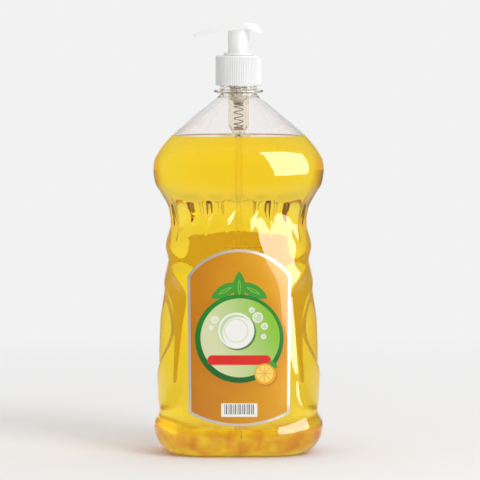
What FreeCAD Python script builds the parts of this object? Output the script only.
"""A 1.5 litre dish soap bottle with a hand pump, in millimetres.

The blown bottle is clear and stands on its base at z = 0, with its axis on Z and its
front label facing -Y. Its wide sides face -X and +X. The pump is screwed on the neck:
a ribbed cap, a locking collar, a sprung plunger with its seal, a ball valve and a tube
that reaches down through the soap to the base.
"""

import FreeCAD
import Part
import math
import os

V = FreeCAD.Vector

# Bottle, overall
wall = 0.6
half_depth = 40.6
foot_half_width = 58.2
shoulder_half_width = 58.7
waist_half_width = 46.8
grip_half_width = 50.2
notch_half_width = 48.6

# Bottle, heights of what shapes its outline
foot_height = 20.0
groove_height = 29.0
notch_height = 133.5
grip_height = 142.5
waist_height = 158.5
ledge_height = 180.5
shoulder_height = 195.0
dome_top = 243.0

# Bottle, depths and insets from the widest part
foot_roll = 17.0
groove_depth = 3.2
label_face_inset = 1.2
flute_inset = 6.6
rib_inset = 3.6
dome_reach = 4.5
ledge_sag = 9.0
arch_fall = 17.0

# Leaf shaped ribs round the waist, as angles from the front, and their half width
rib_angles = (12.3, 33.0, 59.0)
rib_half_width = 3.6
rib_length = 32.5

# Flat almond panel on each side
side_bow = 0.0142
side_edge_round = 2.2
almond_height = 87.5
almond_half_length = 34.0
almond_half_width = 29.0
almond_recess = 0.9

# Hollow under the base
hollow_half_width = 38.0
hollow_half_depth = 20.0
hollow_rise = 6.0

# Neck
neck_radius = 12.75
neck_bore_radius = 10.85
neck_rim_height = 268.7
ring_radius = 16.8
ring_height = 247.6
ring_thickness = 1.5
thread_pitch = 4.233
thread_turns = 1.5
neck_thread_reach = 0.95
neck_thread_width = 1.9
neck_thread_start = 260.0

# Soap and labels
fill_height = 217.6
soap_gap = 0.05
bore_gap = 0.35
label_top_half_width = 35.0
label_low_half_width = 34.2
label_shift = 0.5
label_top = 142.6
label_top_corner = 124.5
label_low_corner = 31.1
label_bottom = 22.5
label_thickness = 0.18
label_gap = 0.08
back_label_half_width = 24.5
back_label_low = 42.0
back_label_top = 148.0
back_label_top_corner = 141.0
back_label_corner = 5.0

# Screw cap
cap_radius = 15.75
cap_bore_radius = 13.95
cap_height = 20.6
cap_top_thickness = 1.5
cap_ribs = 80
cap_rib_depth = 0.32
cap_thread_reach = 0.75
cap_thread_width = 1.5
cap_chamfer = 0.6

# Gasket, pump chamber and locking collar
gasket_thickness = 1.2
gasket_bore_radius = 10.3
flange_radius = 12.5
flange_thickness = 1.2
cup_radius = 10.0
cup_wall = 1.1
cup_depth = 18.9
cup_cone = 1.6
chamber_radius = 7.0
chamber_wall = 1.0
chamber_length = 49.6
chamber_cone = 3.2
floor_radius = 4.3
floor_thickness = 1.6
spigot_radius = 3.8
spigot_length = 8.0
collar_flange_radius = 10.1
collar_flange_height = 1.8
collar_wall = 1.1
collar_floor = 1.4
guide_radius = 4.4
running_gap = 0.15
snap_gap = 0.1
rotating_gap = 0.1

# Ball valve and tube
ball_radius = 2.2
ball_room = 0.35
ball_lift = 1.0
seat_radius = 1.5
seat_depth = 1.4
seat_gap = 0.04
cage_bore_radius = 1.8
cage_slot_width = 1.3
cage_slots = 3
tube_radius = 2.5
tube_bore_radius = 1.7
tube_grip = 3.0
tube_clearance = 2.6
tube_cut_angle = 45.0

# Plunger
stroke = 14.0
stem_radius = 2.8
stem_bore_radius = 1.7
stem_collar_radius = 3.9
stem_collar_height = 1.2
seal_height = 6.0
seal_gap = 0.05
seal_lip = 0.5
rod_flange_height = 1.5
rod_pilot_radius = 2.35
rod_pilot_length = 2.4
rod_shank_length = 8.0
rod_flat = 0.45
spring_wire = 0.7
spring_radius = 3.15
spring_pitch = 4.0
spring_length = 19.5

# Head, with lengths counted from the axis and drops from the crown
barrel_radius = 7.25
barrel_wall = 1.3
barrel_show = 15.2
barrel_foot_gap = 0.5
socket_wall = 1.3
socket_depth = 13.0
head_thickness = 5.4
crown_place = 2.9
spout_length = 32.5
spout_drop = 8.5
spout_nose = 3.4
spout_nose_drop = 2.1
spout_rake = 2.6
spout_end_height = 2.4
spout_arch = 1.95
rim_place = 7.2
rim_drop = 4.5
rim_arch = 6.3
tail_place = 12.5
tail_drop = 1.2
tail_length = 15.8
tail_tip_drop = 6.8
tail_tip_height = 0.6
rim_half_width = 9.0
roof_half_width = 6.2
rim_spout_half_width = 2.7
roof_spout_half_width = 2.0
rim_tail_half_width = 4.8
roof_tail_half_width = 3.4
channel_radius = 1.5
mouth_radius = 0.85

# Sizes and heights that follow from the ones above
label_face_depth = half_depth - label_face_inset
flute_depth = half_depth - flute_inset
rib_depth = half_depth - rib_inset
rib_tip_height = ledge_height - rib_length
gasket_top = neck_rim_height + gasket_thickness
flange_top = gasket_top + flange_thickness
cap_under = flange_top + rotating_gap
cap_top = cap_under + cap_top_thickness
cap_bottom = cap_top - cap_height
collar_seat = cap_top + rotating_gap
collar_top = collar_seat + collar_flange_height
cup_bottom = flange_top - cup_depth
chamber_floor = flange_top - chamber_length
spring_seat = chamber_floor
cage_under = spring_seat - floor_thickness
rod_flange_under = spring_seat + spring_length
rod_flange_top = rod_flange_under + rod_flange_height
head_under = collar_top + barrel_show
crown_height = head_under + head_thickness
collar_bottom = cup_bottom + cup_cone + 0.7
barrel_bottom = collar_bottom + collar_floor + barrel_foot_gap + stroke
cage_radius = ball_radius + ball_room
seal_low = rod_flange_top + seal_gap
stem_collar_low = seal_low + seal_height + 0.2
stem_stop = stem_collar_low + stem_collar_height + 0.4

# Grid of the bottle's surface
poles_round = 160
row_step = 3.0
foot_rows = 9


def revolve(points):
    """A solid turned about Z from a closed outline of (radius, height) points."""
    corners = [V(r, 0, z) for r, z in points]
    outline = Part.makePolygon(corners + [corners[0]])
    return Part.Face(outline).revolve(V(0, 0, 0), V(0, 0, 1), 360)


def cylinder(radius, low, high):
    return Part.makeCylinder(radius, high - low, V(0, 0, low))


def curve_through(points):
    """A function that passes smoothly through (place, value) points and never overshoots them."""
    places = [p[0] for p in points]
    values = [p[1] for p in points]
    last = len(points) - 1
    steps = [places[i + 1] - places[i] for i in range(last)]
    slopes = [(values[i + 1] - values[i]) / steps[i] for i in range(last)]
    bends = [slopes[0]]
    for i in range(1, last):
        before = slopes[i - 1]
        after = slopes[i]
        if before * after <= 0:
            bends.append(0.0)
        else:
            near = 2 * steps[i] + steps[i - 1]
            far = steps[i] + 2 * steps[i - 1]
            bends.append((near + far) / (near / before + far / after))
    bends.append(slopes[-1])

    def value(place):
        place = min(max(place, places[0]), places[-1])
        i = 0
        while i < last - 1 and place > places[i + 1]:
            i += 1
        h = steps[i]
        t = (place - places[i]) / h
        rest = 1 - t
        return (
            values[i] * rest * rest * (1 + 2 * t)
            + bends[i] * h * t * rest * rest
            + values[i + 1] * t * t * (3 - 2 * t)
            - bends[i + 1] * h * t * t * rest
        )

    return value


def smooth(t):
    """Rises from 0 to 1 with no corner as t goes from 0 to 1."""
    t = min(max(t, 0.0), 1.0)
    return t * t * (3 - 2 * t)


# The bottle's outline seen from the front, as far as the plain section reaches
outer_half_width = curve_through([
    (0.0, foot_half_width),
    (foot_height, foot_half_width),
    (groove_height, foot_half_width - groove_depth),
    (groove_height + 8, foot_half_width - 0.4),
    (60.0, foot_half_width + 0.6),
    (90.0, foot_half_width + 0.2),
    (notch_height - 23, foot_half_width - 1.2),
    (notch_height - 8, foot_half_width - 4.7),
    (notch_height, notch_half_width),
    (grip_height, grip_half_width),
    (waist_height, waist_half_width),
    (waist_height + 9.5, waist_half_width + 1.2),
    (ledge_height - 1.5, shoulder_half_width - 5.2),
    (ledge_height + 5, shoulder_half_width - 1.4),
    (shoulder_height, shoulder_half_width),
    (shoulder_height + 5.7, shoulder_half_width - 0.6),
    (shoulder_height + 11, shoulder_half_width - 3.0),
    (shoulder_height + 22, shoulder_half_width - 11.4),
    (dome_top - 15, 34.6),
    (dome_top - 4, 21.4),
    (dome_top, 16.0),
    (dome_top + dome_reach, neck_bore_radius - 2),
])

# Where the side panels reach, between the groove and the notch
side_half_width = curve_through([
    (groove_height - 3, foot_half_width + 2),
    (groove_height, foot_half_width - groove_depth + 0.2),
    (groove_height + 14, foot_half_width - 2.4),
    (60.0, foot_half_width - 1.9),
    (90.0, foot_half_width - 2.7),
    (notch_height - 28, foot_half_width - 4.7),
    (notch_height - 9, foot_half_width - 7.7),
    (notch_height, notch_half_width + 0.4),
    (notch_height + 4, notch_half_width + 6),
])
side_bend = curve_through([
    (groove_height - 1, 0.0),
    (groove_height + 7, 0.74 * side_bow),
    (60.0, 0.95 * side_bow),
    (90.0, side_bow),
    (notch_height - 24, 0.92 * side_bow),
    (notch_height - 9, 0.5 * side_bow),
    (notch_height, 0.0),
])

# Half the depth, in the flutes between the ribs and on the ribs themselves
flute_half_depth = curve_through([
    (0.0, half_depth),
    (foot_height, half_depth),
    (groove_height, label_face_depth - 0.5),
    (groove_height + 5, label_face_depth),
    (rib_tip_height - 14, label_face_depth),
    (rib_tip_height + 8, (label_face_depth + flute_depth) / 2),
    (ledge_height - 12, flute_depth),
    (ledge_height - 5.5, flute_depth + 0.9),
    (ledge_height, half_depth - 1.3),
    (shoulder_height, half_depth),
    (shoulder_height + 11, half_depth - 1.6),
    (shoulder_height + 22, half_depth - 6.8),
    (dome_top - 15, 26.0),
    (dome_top - 4, 18.4),
    (dome_top, 15.0),
    (dome_top + dome_reach, neck_bore_radius - 2),
])
rib_half_depth = curve_through([
    (rib_tip_height - 2, label_face_depth - 0.9),
    (ledge_height - 18, rib_depth),
    (ledge_height - 8, rib_depth + 0.9),
    (ledge_height, half_depth - 1.3),
])

# How square the section is: 2 is an ellipse, more is boxier
squareness = curve_through([
    (0.0, 2.7),
    (foot_height, 2.9),
    (groove_height + 6, 3.2),
    (notch_height - 20, 3.2),
    (notch_height, 2.9),
    (waist_height, 2.6),
    (shoulder_height, 2.7),
    (dome_top - 15, 2.2),
    (dome_top, 2.0),
    (dome_top + dome_reach, 2.0),
])


def section_radius(cosine, sine, half_x, half_y, power):
    """How far a superellipse reaches in one direction."""
    return (abs(cosine / half_x) ** power + abs(sine / half_y) ** power) ** (-1 / power)


def side_radius(cosine, sine, z):
    """How far the bowed side panel lets the bottle reach in one direction."""
    reach = side_half_width(z)
    bend = side_bend(z)
    across = abs(cosine)
    if bend * sine * sine < 1e-9:
        return reach / max(across, 1e-6)
    under_root = across * across + 4 * bend * reach * sine * sine
    return (math.sqrt(under_root) - across) / (2 * bend * sine * sine)


def almond(y, z):
    """1 inside the almond on the side, falling to 0 at its edge."""
    along = (z - almond_height) / almond_half_length
    if abs(along) >= 1:
        return 0.0
    inside = almond_half_width * (1 - along * along) - abs(y)
    return smooth(inside / (2 * side_edge_round))


def leaf(angle, radius, z):
    """1 on the crest of a leaf shaped rib, 0 in the flutes between them."""
    if not rib_tip_height - 8 < z < ledge_height + 6:
        return 0.0
    most = 0.0
    for i, rib in enumerate(rib_angles):
        tip = rib_tip_height - 7.0 * (i == len(rib_angles) - 1)
        widen = smooth((z - tip) / (ledge_height - 8 - tip))
        away = radius * math.radians(abs(angle - rib))
        half = max(rib_half_width * widen, 0.01)
        most = max(most, widen ** 0.5 * (1 - smooth(away / half / 1.6)))
    return most


def bottle_radius(direction, z):
    """The outside radius of the bottle in one direction, at one height."""
    cosine = math.cos(direction)
    sine = math.sin(direction)
    half_x = outer_half_width(z)
    power = squareness(z)
    plain = section_radius(cosine, sine, half_x, flute_half_depth(z), power)
    across = min(1.0, abs(plain * cosine) / half_x)
    low = ledge_sag * (1 - across ** 2) * (1 - smooth((z - groove_height) / 25))
    high = arch_fall * across ** 2 * smooth((z - 100) / 20)
    high *= 1 - smooth((z - rib_tip_height) / (ledge_height - rib_tip_height - 4))
    moved = z + low * smooth(z / foot_height) + high
    half_y = flute_half_depth(moved)
    from_front = math.degrees(math.atan2(abs(cosine), abs(sine)))
    crest = leaf(from_front, plain, z)
    half_y += max(0.0, rib_half_depth(z) - half_y) * crest
    half_x += 0.06 * (shoulder_half_width - waist_half_width) * crest
    front = section_radius(cosine, sine, half_x, half_y, power)
    if not groove_height - 3 < z < notch_height + 4:
        return front
    side = side_radius(cosine, sine, z)
    side -= almond_recess * almond(side * sine, z)
    share = min(max(0.5 + 0.5 * (side - front) / side_edge_round, 0.0), 1.0)
    blend = side_edge_round * share * (1 - share)
    return side * (1 - share) + front * share - blend


def even_directions(count):
    """Directions that space the poles evenly round a plain section."""
    fine = 2880
    angles = [2 * math.pi * i / fine for i in range(fine + 1)]
    spots = []
    for a in angles:
        r = section_radius(math.cos(a), math.sin(a), foot_half_width, half_depth, 2.8)
        spots.append((r * math.cos(a), r * math.sin(a)))
    lengths = [0.0]
    for i in range(fine):
        lengths.append(lengths[-1] + math.dist(spots[i], spots[i + 1]))
    chosen = []
    i = 0
    for k in range(count):
        target = lengths[-1] * k / count
        while lengths[i + 1] < target:
            i += 1
        share = (target - lengths[i]) / (lengths[i + 1] - lengths[i])
        chosen.append(angles[i] + share * (angles[i + 1] - angles[i]))
    return chosen


def bottle_grid():
    """Rows of points on the bottle's outside, from its standing edge to inside its neck."""
    directions = even_directions(poles_round)
    rows = []
    for k in range(foot_rows):
        turn = math.pi / 2 * (1 - k / foot_rows)
        z = foot_height * (1 - math.sin(turn))
        inset = foot_roll * (1 - math.cos(turn))
        radii = [bottle_radius(d, z) - inset for d in directions]
        rows.append([V(r * math.cos(d), r * math.sin(d), z) for r, d in zip(radii, directions)])
    low = foot_height
    high = dome_top + dome_reach
    count = math.ceil((high - low) / row_step)
    for k in range(count + 1):
        z = low + (high - low) * k / count
        radii = [bottle_radius(d, z) for d in directions]
        rows.append([V(r * math.cos(d), r * math.sin(d), z) for r, d in zip(radii, directions)])
    return rows


def inset_grid(rows, depth):
    """The grid moved inwards by a wall, square to the surface at each point."""
    count = len(rows[0])
    moved = []
    for j, row in enumerate(rows):
        below = rows[max(j - 1, 0)]
        above = rows[min(j + 1, len(rows) - 1)]
        line = []
        for i, point in enumerate(row):
            round_way = row[(i + 1) % count] - row[i - 1]
            up_way = above[i] - below[i]
            normal = round_way.cross(up_way)
            normal.normalize()
            if j == 0:
                normal = V(0, 0, -1)
            if j == len(rows) - 1:
                normal.z = 0
            line.append(point - normal * depth)
        moved.append(line)
    return moved


def open_knots(count):
    """Knots and their multiplicities for a clamped cubic through that many poles."""
    spans = count - 3
    return list(range(spans + 1)), [4] + [1] * (spans - 1) + [4]


def skin_solid(rows):
    """A solid bounded by a smooth closed skin over the rows and a flat face at each end."""
    count = len(rows[0])
    knots, multiplicities = open_knots(len(rows))
    surface = Part.BSplineSurface()
    surface.buildFromPolesMultsKnots(
        [[row[i] for row in rows] for i in range(count)],
        [1] * (count + 1), multiplicities, list(range(count + 1)), knots,
        True, False, 3, 3,
    )
    skin = surface.toShape()
    ends = []
    for edge in skin.Edges:
        box = edge.BoundBox
        if box.ZLength < 1e-6:
            ends.append(Part.Face(Part.Wire([edge])))
    shell = Part.makeShell([skin] + ends)
    shell.sewShape()
    return Part.makeSolid(shell)


def base_hollow(grow):
    """The shallow oval hollow under the base, grown on all sides."""
    half_y = hollow_half_depth + grow
    rise = hollow_rise + grow
    ball_radius_here = (half_y ** 2 + rise ** 2) / (2 * rise)
    ball = Part.makeSphere(ball_radius_here, V(0, 0, rise - ball_radius_here))
    stretch = FreeCAD.Matrix()
    stretch.scale((hollow_half_width + grow) / half_y, 1, 1)
    return ball.transformGeometry(stretch)


def helical_bead(radius, reach, width, sink, low, turns):
    """A thread: a tapered bead wound round Z that stands out by reach (inwards if negative)."""
    out = 1 if reach > 0 else -1
    path = Part.makeHelix(thread_pitch, thread_pitch * turns, radius)
    foot = radius - out * sink
    crest = radius + reach
    outline = Part.makePolygon([
        V(foot, 0, -width / 2 - 0.1),
        V(foot, 0, width / 2 + 0.1),
        V(crest, 0, width / 4),
        V(crest, 0, -width / 4),
        V(foot, 0, -width / 2 - 0.1),
    ])
    bead = Part.Wire(path.Edges).makePipeShell([outline], True, True)
    bead = Part.makeSolid(bead) if bead.ShapeType != "Solid" else bead
    bead.translate(V(0, 0, low))
    return bead


def bottle_neck():
    """The solid neck with its support ring and thread, before it is bored."""
    low = dome_top - 1.0
    post = cylinder(neck_radius, low, neck_rim_height)
    post = post.makeChamfer(0.4, [e for e in post.Edges if e.BoundBox.ZMin > neck_rim_height - 0.01])
    ring = revolve([
        (neck_radius - 1, ring_height - 0.6),
        (neck_radius + 0.4, ring_height - 0.6),
        (ring_radius - 0.3, ring_height),
        (ring_radius, ring_height + 0.3),
        (ring_radius, ring_height + ring_thickness - 0.3),
        (ring_radius - 0.3, ring_height + ring_thickness),
        (neck_radius + 0.4, ring_height + ring_thickness + 0.3),
        (neck_radius - 1, ring_height + ring_thickness + 0.3),
    ])
    thread = helical_bead(neck_radius, neck_thread_reach, neck_thread_width, 0.6,
                          neck_thread_start, thread_turns)
    return post.fuse(ring).fuse(thread)


def bottle_body(rows):
    """The clear blown bottle, one piece from its base hollow to its threaded neck."""
    outside = skin_solid(rows).fuse(bottle_neck())
    inside = skin_solid(inset_grid(rows, wall))
    bore = cylinder(neck_bore_radius, dome_top - 1, neck_rim_height + 1)
    inside = inside.cut(base_hollow(wall)).fuse(bore)
    return outside.cut(base_hollow(0)).cut(inside)


def liquid_soap(rows):
    """The soap, filling the bottle to its level round the pump and the tube."""
    soap = skin_solid(inset_grid(rows, wall + soap_gap))
    soap = soap.cut(base_hollow(wall + soap_gap))
    wide = 3 * shoulder_half_width
    soap = soap.cut(Part.makeBox(wide, wide, wide, V(-wide / 2, -wide / 2, fill_height)))
    return soap.cut(cylinder(tube_radius + bore_gap, 0, fill_height)).cut(pump_outside(bore_gap))


def label_sheet(rows, outline_face, front):
    """A thin sheet that lies on the bottle's face and has the outline's shape."""
    side = -1 if front else 1
    columns = [i for i, p in enumerate(rows[12]) if p.y * side > 0 and abs(p.x) < 46]
    lowest = [j for j, row in enumerate(rows) if row[0].z > 12][0]
    highest = [j for j, row in enumerate(rows) if row[0].z < rib_tip_height + 6][-1]
    lifted = inset_grid(rows, -label_gap)[lowest:highest]
    knots_x, counts_x = open_knots(len(columns))
    knots_z, counts_z = open_knots(len(lifted))
    surface = Part.BSplineSurface()
    surface.buildFromPolesMultsKnots(
        [[row[i] for row in lifted] for i in columns],
        counts_x, counts_z, knots_x, knots_z, False, False, 3, 3,
    )
    sheet = surface.toShape().extrude(V(0, side * label_thickness, 0))
    cutter = outline_face.extrude(V(0, side * 2 * half_depth, 0))
    return sheet.common(cutter)


def front_label(rows):
    """The arched front label, a little narrower at its foot."""
    left_top = V(label_shift - label_top_half_width, 0, label_top_corner)
    right_top = V(label_shift + label_top_half_width, 0, label_top_corner)
    left_low = V(label_shift - label_low_half_width, 0, label_low_corner)
    right_low = V(label_shift + label_low_half_width, 0, label_low_corner)
    outline = Part.Wire([
        Part.Arc(left_top, V(label_shift, 0, label_top), right_top).toShape(),
        Part.makeLine(right_top, right_low),
        Part.Arc(right_low, V(label_shift, 0, label_bottom), left_low).toShape(),
        Part.makeLine(left_low, left_top),
    ])
    return label_sheet(rows, Part.Face(outline), True)


def back_label(rows):
    """The plain back label, with round corners and a low arch along its top."""
    left_top = V(-back_label_half_width, 0, back_label_top_corner)
    right_top = V(back_label_half_width, 0, back_label_top_corner)
    left_low = V(-back_label_half_width, 0, back_label_low)
    right_low = V(back_label_half_width, 0, back_label_low)
    outline = Part.Wire([
        Part.Arc(left_top, V(0, 0, back_label_top), right_top).toShape(),
        Part.makeLine(right_top, right_low),
        Part.makeLine(right_low, left_low),
        Part.makeLine(left_low, left_top),
    ])
    block = Part.Face(outline).extrude(V(0, 1, 0))
    block = block.makeFillet(back_label_corner, [e for e in block.Edges if e.BoundBox.ZLength < 0.01
                                                 and e.BoundBox.YLength > 0.9])
    face = [f for f in block.Faces if f.BoundBox.YMax < 1e-6][0]
    return label_sheet(rows, face, False)


def screw_cap():
    """The ribbed cap: a plate over the pump's flange and a threaded skirt round the neck."""
    points = []
    inner = cap_radius - cap_rib_depth
    for k in range(cap_ribs):
        for share, radius in ((0.0, inner), (0.3, inner), (0.5, cap_radius), (0.8, cap_radius)):
            turn = 2 * math.pi * (k + share) / cap_ribs
            points.append(V(radius * math.cos(turn), radius * math.sin(turn), cap_bottom))
    ribbed = Part.Face(Part.makePolygon(points + [points[0]])).extrude(V(0, 0, cap_height))
    hull = revolve([
        (0, cap_bottom),
        (cap_radius - 0.2, cap_bottom),
        (cap_radius + 0.1, cap_bottom + 0.3),
        (cap_radius + 0.1, cap_top - cap_chamfer),
        (cap_radius - cap_chamfer, cap_top),
        (0, cap_top),
    ])
    rim = revolve([
        (cap_bore_radius + 0.3, cap_top - 1.4),
        (cap_radius - 0.05, cap_top - 1.4),
        (cap_radius - 0.05, cap_top - cap_chamfer),
        (cap_radius - cap_chamfer, cap_top),
        (cap_bore_radius + 0.3, cap_top),
    ])
    cap = ribbed.common(hull).fuse(rim)
    cap = cap.cut(cylinder(cap_bore_radius, cap_bottom - 1, cap_under))
    cap = cap.cut(cylinder(collar_tube_radius() + running_gap, cap_bottom, cap_top + 1))
    low = neck_thread_start - thread_pitch / 2 - 0.1
    thread = helical_bead(cap_bore_radius, -cap_thread_reach, cap_thread_width, 0.6, low, thread_turns)
    return cap.fuse(thread)


def neck_gasket():
    """The soft ring that seals the pump's flange on the neck."""
    return revolve([
        (gasket_bore_radius, neck_rim_height),
        (flange_radius, neck_rim_height),
        (flange_radius, gasket_top),
        (gasket_bore_radius, gasket_top),
    ])


def collar_tube_radius():
    """The outside of the locking collar's tube, which the pump's cup holds."""
    return cup_radius - cup_wall


def pump_outside(grow):
    """The outside of the pump chamber below its cup, grown on all sides."""
    end = cage_under - spigot_length
    return revolve([
        (0, end - grow),
        (spigot_radius + grow, end - grow),
        (spigot_radius + grow, cage_under - floor_thickness / 2 - grow),
        (chamber_radius + grow, spring_seat + chamber_cone - floor_thickness / 2 - grow),
        (chamber_radius + grow, cup_bottom),
        (0, cup_bottom),
    ])


def ball_seat_height():
    """Where the ball's cone seat starts to narrow, so that the ball has its lift below the cage."""
    lean = math.atan2(cage_radius - seat_radius, seat_depth)
    centre_over_throat = (ball_radius / math.cos(lean) - seat_radius) / math.tan(lean)
    highest_centre = cage_under - ball_radius - ball_lift - 2 * seat_gap
    return highest_centre - centre_over_throat, highest_centre


def pump_chamber():
    """The clear chamber: flange and cup at the neck, bore for the seal, ball seat and spigot."""
    throat, _ = ball_seat_height()
    end = cage_under - spigot_length
    shell = revolve([
        (0, cup_bottom),
        (chamber_radius, cup_bottom),
        (cup_radius, cup_bottom + cup_cone),
        (cup_radius, gasket_top),
        (flange_radius, gasket_top),
        (flange_radius, flange_top),
        (0, flange_top),
    ]).fuse(pump_outside(0))
    bore = chamber_radius - chamber_wall
    hollow = revolve([
        (0, spring_seat),
        (floor_radius, spring_seat),
        (bore, spring_seat + chamber_cone),
        (bore, collar_bottom - cup_cone - snap_gap),
        (collar_tube_radius(), collar_bottom - snap_gap),
        (collar_tube_radius(), flange_top + 1),
        (0, flange_top + 1),
    ])
    valve = revolve([
        (0, end - 1),
        (tube_radius, end - 1),
        (tube_radius, end + tube_grip),
        (seat_radius, end + tube_grip),
        (seat_radius, throat),
        (cage_radius, throat + seat_depth),
        (cage_radius, cage_under),
        (cage_bore_radius, cage_under),
        (cage_bore_radius, spring_seat + 1),
        (0, spring_seat + 1),
    ])
    chamber = shell.cut(hollow).cut(valve)
    for k in range(cage_slots):
        slot = Part.makeBox(cage_radius, cage_slot_width, floor_thickness + 2,
                            V(0, -cage_slot_width / 2, cage_under - 1))
        slot.rotate(V(0, 0, 0), V(0, 0, 1), 360 * k / cage_slots)
        chamber = chamber.cut(slot)
    return chamber


def locking_collar():
    """The collar over the cap: its tube snaps in the pump's cup and guides head and stem."""
    outer = collar_tube_radius()
    bore = outer - collar_wall
    low = collar_bottom
    guide_low = stem_stop + rotating_gap
    return revolve([
        (stem_radius + running_gap, guide_low),
        (guide_radius, guide_low),
        (guide_radius, low),
        (outer, low),
        (outer, collar_seat),
        (collar_flange_radius, collar_seat),
        (collar_flange_radius, collar_top - 0.5),
        (collar_flange_radius - 0.5, collar_top),
        (bore, collar_top),
        (bore, low + collar_floor),
        (stem_radius + running_gap, low + collar_floor),
    ])


def dip_tube():
    """The tube from the chamber's spigot to just over the base, cut off at a slant."""
    top = cage_under - spigot_length + tube_grip
    low = hollow_rise + wall + tube_clearance
    tube = cylinder(tube_radius, low, top).cut(cylinder(tube_bore_radius, low - 1, top + 1))
    wide = 8 * tube_radius
    knife = Part.makeBox(wide, wide, wide, V(-wide / 2, -wide / 2, -wide))
    knife.rotate(V(0, 0, 0), V(0, 1, 0), tube_cut_angle)
    knife.translate(V(0, 0, low + tube_radius * math.tan(math.radians(tube_cut_angle))))
    return tube.cut(knife)


def inlet_ball():
    """The steel ball that closes the chamber's inlet on the down stroke."""
    _, centre = ball_seat_height()
    return Part.makeSphere(ball_radius, V(0, 0, centre + seat_gap))


def return_spring():
    """The coil spring between the chamber's floor and the valve rod, with closed ends."""
    half = spring_wire / 2
    closed = spring_wire * 1.04
    low = spring_seat + half + 0.02
    high = rod_flange_under - half - 0.02
    lead = 0.75
    open_turns = (high - low - 2 * closed) / spring_pitch
    turns = 2 + 2 * lead + open_turns
    climb_at = curve_through([
        (0.0, 0.0),
        (1.0, closed),
        (1.0 + lead, closed + 0.35 * lead * spring_pitch),
        (turns - 1.0 - lead, high - low - closed - 0.35 * lead * spring_pitch),
        (turns - 1.0, high - low - closed),
        (turns, high - low),
    ])
    spots = []
    steps = math.ceil(16 * turns)
    for k in range(steps + 1):
        turn = turns * k / steps
        angle = 2 * math.pi * turn
        spots.append(V(spring_radius * math.cos(angle), spring_radius * math.sin(angle),
                       low + climb_at(turn)))
    path = Part.BSplineCurve()
    path.interpolate(spots)
    circle = Part.Circle(spots[0], path.tangent(0)[0], half)
    wire = Part.Wire([circle.toShape()])
    coil = Part.Wire([path.toShape()]).makePipeShell([wire], True, True)
    return Part.makeSolid(coil) if coil.ShapeType != "Solid" else coil


def plunger_seal():
    """The soft piston that slides in the chamber on the stem's foot."""
    outer = chamber_radius - chamber_wall - seal_gap
    inner = stem_radius + seal_gap
    low = seal_low
    high = low + seal_height
    waist = outer - 1.1
    return revolve([
        (inner, low),
        (waist, low),
        (outer, low - 0.4),
        (outer, low + 0.6),
        (waist, low + 1.7),
        (waist, high - 1.7),
        (outer, high - 0.6),
        (outer, high + 0.4),
        (outer - seal_lip, high + 0.4),
        (waist - seal_lip, high - 0.6),
        (inner, high - 0.6),
    ])


def pump_stem():
    """The hollow rod that carries the soap from the seal up to the head."""
    top = socket_top()
    return revolve([
        (stem_bore_radius, seal_low),
        (stem_radius, seal_low),
        (stem_radius, stem_collar_low),
        (stem_collar_radius, stem_collar_low + 0.4),
        (stem_collar_radius, stem_stop),
        (stem_radius, stem_stop),
        (stem_radius, top),
        (stem_bore_radius, top),
    ])


def valve_rod():
    """The plug in the stem's foot, with flats that let soap by and a pilot for the spring."""
    shank_top = rod_flange_top + rod_shank_length
    rod = revolve([
        (0, rod_flange_under - rod_pilot_length),
        (rod_pilot_radius - 0.5, rod_flange_under - rod_pilot_length),
        (rod_pilot_radius, rod_flange_under - rod_pilot_length + 0.5),
        (rod_pilot_radius, rod_flange_under),
        (stem_collar_radius, rod_flange_under),
        (stem_collar_radius, rod_flange_top),
        (stem_bore_radius, rod_flange_top),
        (stem_bore_radius, shank_top),
        (0, shank_top),
    ])
    for side in (-1, 1):
        offset = side * (stem_bore_radius - rod_flat / 2)
        flat = Part.makeBox(4 * stem_bore_radius, rod_flat, rod_shank_length + 1,
                            V(-2 * stem_bore_radius, offset - rod_flat / 2, rod_flange_top))
        rod = rod.cut(flat)
    return rod


def socket_top():
    """Where the stem ends in the head."""
    return barrel_bottom + 1.0 + socket_depth


def head_plan(height):
    """The head's outline in plan at one height: a kite that shrinks towards the crown."""
    rise = (height - crown_height + rim_drop) / rim_drop

    def between(at_rim, at_crown):
        return at_rim + (at_crown - at_rim) * rise

    spout = (-spout_length - 1, between(rim_spout_half_width, roof_spout_half_width))
    side = (between(rim_place, crown_place), between(rim_half_width, roof_half_width))
    tail_lean = (tail_length - tail_place) / (tail_tip_drop - tail_drop)
    tail_roof = tail_place - tail_lean * tail_drop
    tail = (between(tail_roof + tail_lean * rim_drop, tail_roof),
            between(rim_tail_half_width, roof_tail_half_width))
    corners = [V(x, y, height) for x, y in (spout, side, tail)]
    corners += [V(x, -y, height) for x, y in (tail, side, spout)]
    return Part.makePolygon(corners + [corners[0]])


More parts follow.
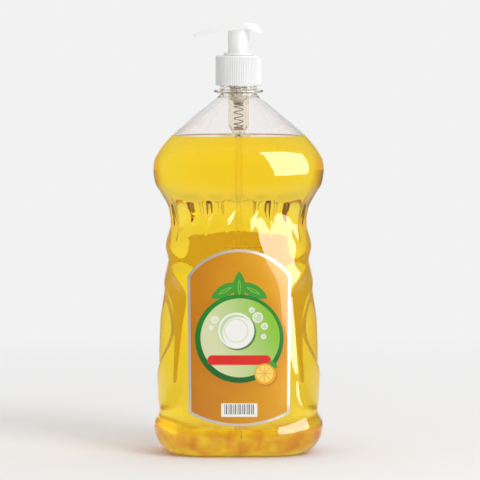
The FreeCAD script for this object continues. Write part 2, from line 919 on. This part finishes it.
def head_side():
    """The head's outline seen from the side, with the spout towards -X."""
    def spot(x, drop):
        return V(x, 0, crown_height - drop)

    tip = spot(-spout_length, spout_drop)
    nose = spot(spout_nose - spout_length, spout_drop - spout_nose_drop)
    crown = spot(crown_place, 0)
    tail = spot(tail_place, tail_drop)
    tail_tip = spot(tail_length, tail_tip_drop)
    tail_foot = spot(tail_length - tail_tip_height, tail_tip_drop + tail_tip_height)
    rim = spot(rim_place, rim_drop)
    lip = spot(spout_rake - spout_length, spout_drop + spout_end_height)
    over_spout = spot((nose.x + crown.x) / 2, spout_arch)
    over_tail = spot((crown.x + tail.x) / 2, tail_drop / 4)
    under_spout = spot((lip.x + rim.x) / 2, rim_arch)
    return Part.Wire([
        Part.Arc(nose, over_spout, crown).toShape(),
        Part.Arc(crown, over_tail, tail).toShape(),
        Part.makeLine(tail, tail_tip),
        Part.makeLine(tail_tip, tail_foot),
        Part.makeLine(tail_foot, rim),
        Part.Arc(rim, under_spout, lip).toShape(),
        Part.makeLine(lip, tip),
        Part.makeLine(tip, nose),
    ])


def head_top():
    """The head's top: the kite in plan, cut to its side outline."""
    below = spout_drop + spout_end_height + 1
    kite = Part.makeLoft([head_plan(crown_height - below), head_plan(crown_height + 0.5)], True, True)
    deep = 4 * rim_half_width
    side = Part.Face(head_side())
    side.translate(V(0, -deep / 2, 0))
    return kite.common(side.extrude(V(0, deep, 0)))


def pump_head():
    """The head that the hand presses: thumb rest and spout, barrel, stem socket and channel."""
    top = head_top()
    barrel = cylinder(barrel_radius, barrel_bottom, crown_height - 0.6 * head_thickness)
    room = cylinder(barrel_radius - barrel_wall, barrel_bottom - 1, socket_top())
    socket = cylinder(stem_radius + socket_wall, barrel_bottom + 1.0, socket_top() + 0.4)
    head = barrel.cut(room).fuse(socket).fuse(top)
    head = head.cut(cylinder(stem_radius, barrel_bottom - 1, socket_top()))
    bend = V(0, 0, crown_height - head_thickness / 2)
    mouth = V(spout_rake / 2 - spout_length, 0, crown_height - spout_drop - spout_end_height / 2)
    run = mouth - bend
    reach = run.Length + 1
    rise = Part.makeCylinder(channel_radius, bend.z - socket_top() + 0.1, V(0, 0, socket_top() - 0.1))
    channel = Part.makeCone(channel_radius, mouth_radius, reach, bend, run)
    return head.cut(rise).cut(Part.makeSphere(channel_radius, bend)).cut(channel)


def single_solid(shape):
    """The shape as one solid, so that its file holds nothing else."""
    return shape.Solids[0] if len(shape.Solids) == 1 else shape


def main():
    rows = bottle_grid()
    pieces = {
        "bottle_body": bottle_body(rows),
        "liquid_soap": liquid_soap(rows),
        "front_label": front_label(rows),
        "back_label": back_label(rows),
        "screw_cap": screw_cap(),
        "neck_gasket": neck_gasket(),
        "pump_chamber": pump_chamber(),
        "locking_collar": locking_collar(),
        "dip_tube": dip_tube(),
        "inlet_ball": inlet_ball(),
        "return_spring": return_spring(),
        "plunger_seal": plunger_seal(),
        "pump_stem": pump_stem(),
        "valve_rod": valve_rod(),
        "pump_head": pump_head(),
    }
    os.makedirs("parts", exist_ok=True)
    for name, shape in pieces.items():
        piece = single_solid(shape)
        box = piece.BoundBox
        print(f"{name:15s} valid {piece.isValid()} solids {len(piece.Solids)} "
              f"volume {piece.Volume:.1f} z {box.ZMin:.2f} to {box.ZMax:.2f} "
              f"x {box.XMin:.2f} to {box.XMax:.2f} y {box.YMin:.2f} to {box.YMax:.2f}", flush=True)
        piece.exportStep(f"parts/{name}.step")
    print(f"soap {pieces['liquid_soap'].Volume / 1e6:.3f} litres")


main()
